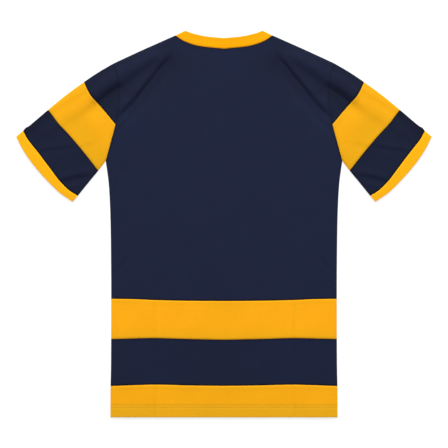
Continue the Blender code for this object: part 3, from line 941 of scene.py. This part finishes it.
def make_body():
    for layer, neckline, step, lay, inside in (
        ("front", FRONT_NECK, FRONT_STEP, on_front, 1),
        ("back", BACK_NECK, BACK_STEP, on_back, -1),
    ):
        plan = body_plan(neckline, step)
        grid = lay(plan)
        piece = make_piece(f"{layer}_body", grid, "navy_knit", planar_map(grid), layer)
        for hoop in HOOPS:
            plan = hoop_plan(hoop, step, neckline)
            grid = lay(plan)
            turned_in = HEM_DEPTH if hoop.below == "edge" else 0.0
            if turned_in:
                grid = turn_in(grid[::-1], turned_in, inside_of(grid[::-1], inside))
            piece = make_piece(f"{layer}_{hoop.name}", grid, hoop.cloth, planar_map(grid), layer)


def inside_of(grid, up):
    """The sign that turns square_to up, for 1, or down, for -1, at the middle of a grid's side."""
    middle = square_to(grid, ring=False)[len(grid) // 2, -2]
    return np.sign(middle[2]) * up


def make_sleeves():
    """Each piece of a sleeve goes once round it, over the top and back to the underarm."""
    for piece in SLEEVE_PIECES:
        plan = sleeve_plan(piece)
        high, low = on_back(plan), on_front(plan)
        grid = np.concatenate([low[:, ::-1], turn_over(low[:, 0], high[:, 0], high[:, 1]), high], axis=1)
        is_cuff = piece.name == "cuff"
        if is_cuff:
            grid = turn_in(grid, BAND_DEPTH, inside_of(grid, -1))
        places = band_map(grid) if is_cuff else planar_map(grid, SLEEVE_TURN)
        for side, sign in (("left", -1), ("right", 1)):
            made = make_piece(f"{piece.name}_{side}", grid * (sign, 1, 1), piece.cloth, places)


def make_neck_band():
    """A ring: its back lies on its front, and it turns over at both shoulders."""
    fold_line = np.linspace(NECK_POINT, BAND_POINT, 2)
    length = distances(fold_line)[-1]
    fold_line = placed(fold_line, graded(length, BAND_STEP, fine=(0.0,)))
    layers = []
    for seam, edge in ((BACK_NECK, BACK_NECK_EDGE), (FRONT_NECK, FRONT_NECK_EDGE)):
        shares = graded(distances(curve(seam))[-1], BAND_STEP)
        start = left_to_right(placed(curve(seam), shares))
        end = left_to_right(placed(curve(edge), shares))
        plan = patch(start, end, fold_line * (-1, 1), fold_line)
        from_column(plan, 0, FOLD_INSET)
        from_column(plan, -1, FOLD_INSET)
        from_row(plan, 0, SEAM_GAP / 2)
        from_row(plan, -1, TURNED)
        layers.append(plan)
    high, low = on_back(layers[0]), on_front(layers[1])
    low[:, [0, -1], :2] = high[:, [0, -1], :2]
    left = turn_over(low[:, 0], high[:, 0], high[:, 1])
    right = turn_over(low[:, -1], high[:, -1], high[:, -2])[:, ::-1]
    grid = np.concatenate([high, right, low[:, ::-1], left], axis=1)
    inside = -np.sign(square_to(grid, ring=True)[len(grid) // 2, high.shape[1] // 2, 2])
    grid = turn_in(grid, BAND_DEPTH, inside, ring=True)
    piece = make_piece("neck_band", grid, "gold_trim", band_map(grid), ring=True)


def stitches_along(up, layer, sign):
    """The points and faces of a row of stitches right across the hem, on the outside of a layer."""
    width = 2 * (side_at(np.array([up]))[0, 0] - 2 * STITCH_PITCH)
    count = int(width / STITCH_PITCH)
    middles = (np.arange(count) - (count - 1) / 2) * STITCH_PITCH
    along = np.linspace(-0.5, 0.5, THREAD_RINGS)
    sides = np.linspace(0, 2 * np.pi, THREAD_SIDES, endpoint=False)
    arch = 1 - (2 * along) ** 4
    x = middles[:, None] + along * STITCH_LENGTH
    level = (back_height if layer == "back" else front_height)(np.stack([x, np.full(x.shape, up)], axis=-1))
    surface = level + sign * (KNIT / 2 + THREAD_RADIUS * (arch - THREAD_SINK))
    thick = THREAD_RADIUS * np.sqrt(np.clip(1 - (2 * along) ** 6, 0.15, 1))
    y = up + thick[None, :, None] * np.cos(sides) + np.zeros((count, 1, 1))
    z = surface[..., None] + thick[None, :, None] * np.sin(sides)
    points = np.stack([np.broadcast_to(x[..., None], y.shape), y, z], axis=-1)
    faces = []
    for s in range(count):
        base = s * len(along) * len(sides)
        for i in range(len(along) - 1):
            for j in range(len(sides)):
                k = (j + 1) % len(sides)
                ring, following = base + i * len(sides), base + (i + 1) * len(sides)
                faces.append((ring + j, ring + k, following + k, following + j))
        last = base + (len(along) - 1) * len(sides)
        faces.append([base + j for j in reversed(range(len(sides)))])
        faces.append([last + j for j in range(len(sides))])
    return points.reshape(-1, 3), faces


def make_stitching():
    for layer, sign in (("back", 1), ("front", -1)):
        all_points, all_faces = [], []
        for up in STITCH_ROWS:
            points, faces = stitches_along(up, layer, sign)
            start = sum(len(p) for p in all_points)
            all_points.append(points)
            all_faces += [[start + i for i in face] for face in faces]
        name = f"{layer}_hem_stitching"
        piece = add_object(name, np.vstack(all_points), all_faces, "gold_thread")
        piece.data.shade_smooth()


def make_floor():
    mesh = bpy.data.meshes.new("floor")
    corners = [(x * FLOOR_REACH, y * FLOOR_REACH, FLOOR_Z) for x, y in ((-1, -1), (1, -1), (1, 1), (-1, 1))]
    mesh.from_pydata(corners, [], [(0, 1, 2, 3)])
    material = bpy.data.materials.new("floor")
    material.use_nodes = True
    shader = material.node_tree.nodes["Principled BSDF"]
    shader.inputs["Base Color"].default_value = (0.3, 0.3, 0.3, 1)
    shader.inputs["Roughness"].default_value = 0.9
    shader.inputs["Specular IOR Level"].default_value = 0.1
    shader.inputs["Emission Color"].default_value = (1, 1, 1, 1)
    shader.inputs["Emission Strength"].default_value = FLOOR_GLOW
    mesh.materials.append(material)
    floor = bpy.data.objects.new("floor", mesh)
    bpy.context.scene.collection.objects.link(floor)


def make_light():
    """Even light from all round, and a large soft key from beyond the neck, which shades the folds."""
    world = bpy.data.worlds.new("studio")
    world.use_nodes = True
    background = world.node_tree.nodes["Background"]
    background.inputs["Color"].default_value = (1, 1, 1, 1)
    background.inputs["Strength"].default_value = WORLD_STRENGTH
    bpy.context.scene.world = world
    light = bpy.data.lights.new("key", "AREA")
    light.energy = KEY_POWER
    light.size = KEY_SIZE
    key = bpy.data.objects.new("key", light)
    key.location = (0, KEY_DISTANCE * np.cos(KEY_HEIGHT), KEY_DISTANCE * np.sin(KEY_HEIGHT))
    key.rotation_euler = (KEY_HEIGHT - np.pi / 2, 0, 0)
    bpy.context.scene.collection.objects.link(key)


def make_camera():
    """Looks straight down, with the neck at the top of the picture."""
    camera = bpy.data.cameras.new("camera")
    camera.lens = LENS
    camera.sensor_width = SENSOR
    view = bpy.data.objects.new("camera", camera)
    view.location = (0, 0, EDGE_TOP * MM + FRAME_WIDTH * LENS / SENSOR)
    bpy.context.scene.collection.objects.link(view)
    bpy.context.scene.camera = view


make_camera()
make_light()
make_floor()
make_body()
make_sleeves()
make_neck_band()
make_stitching()
bpy.context.scene.view_settings.view_transform = "Standard"
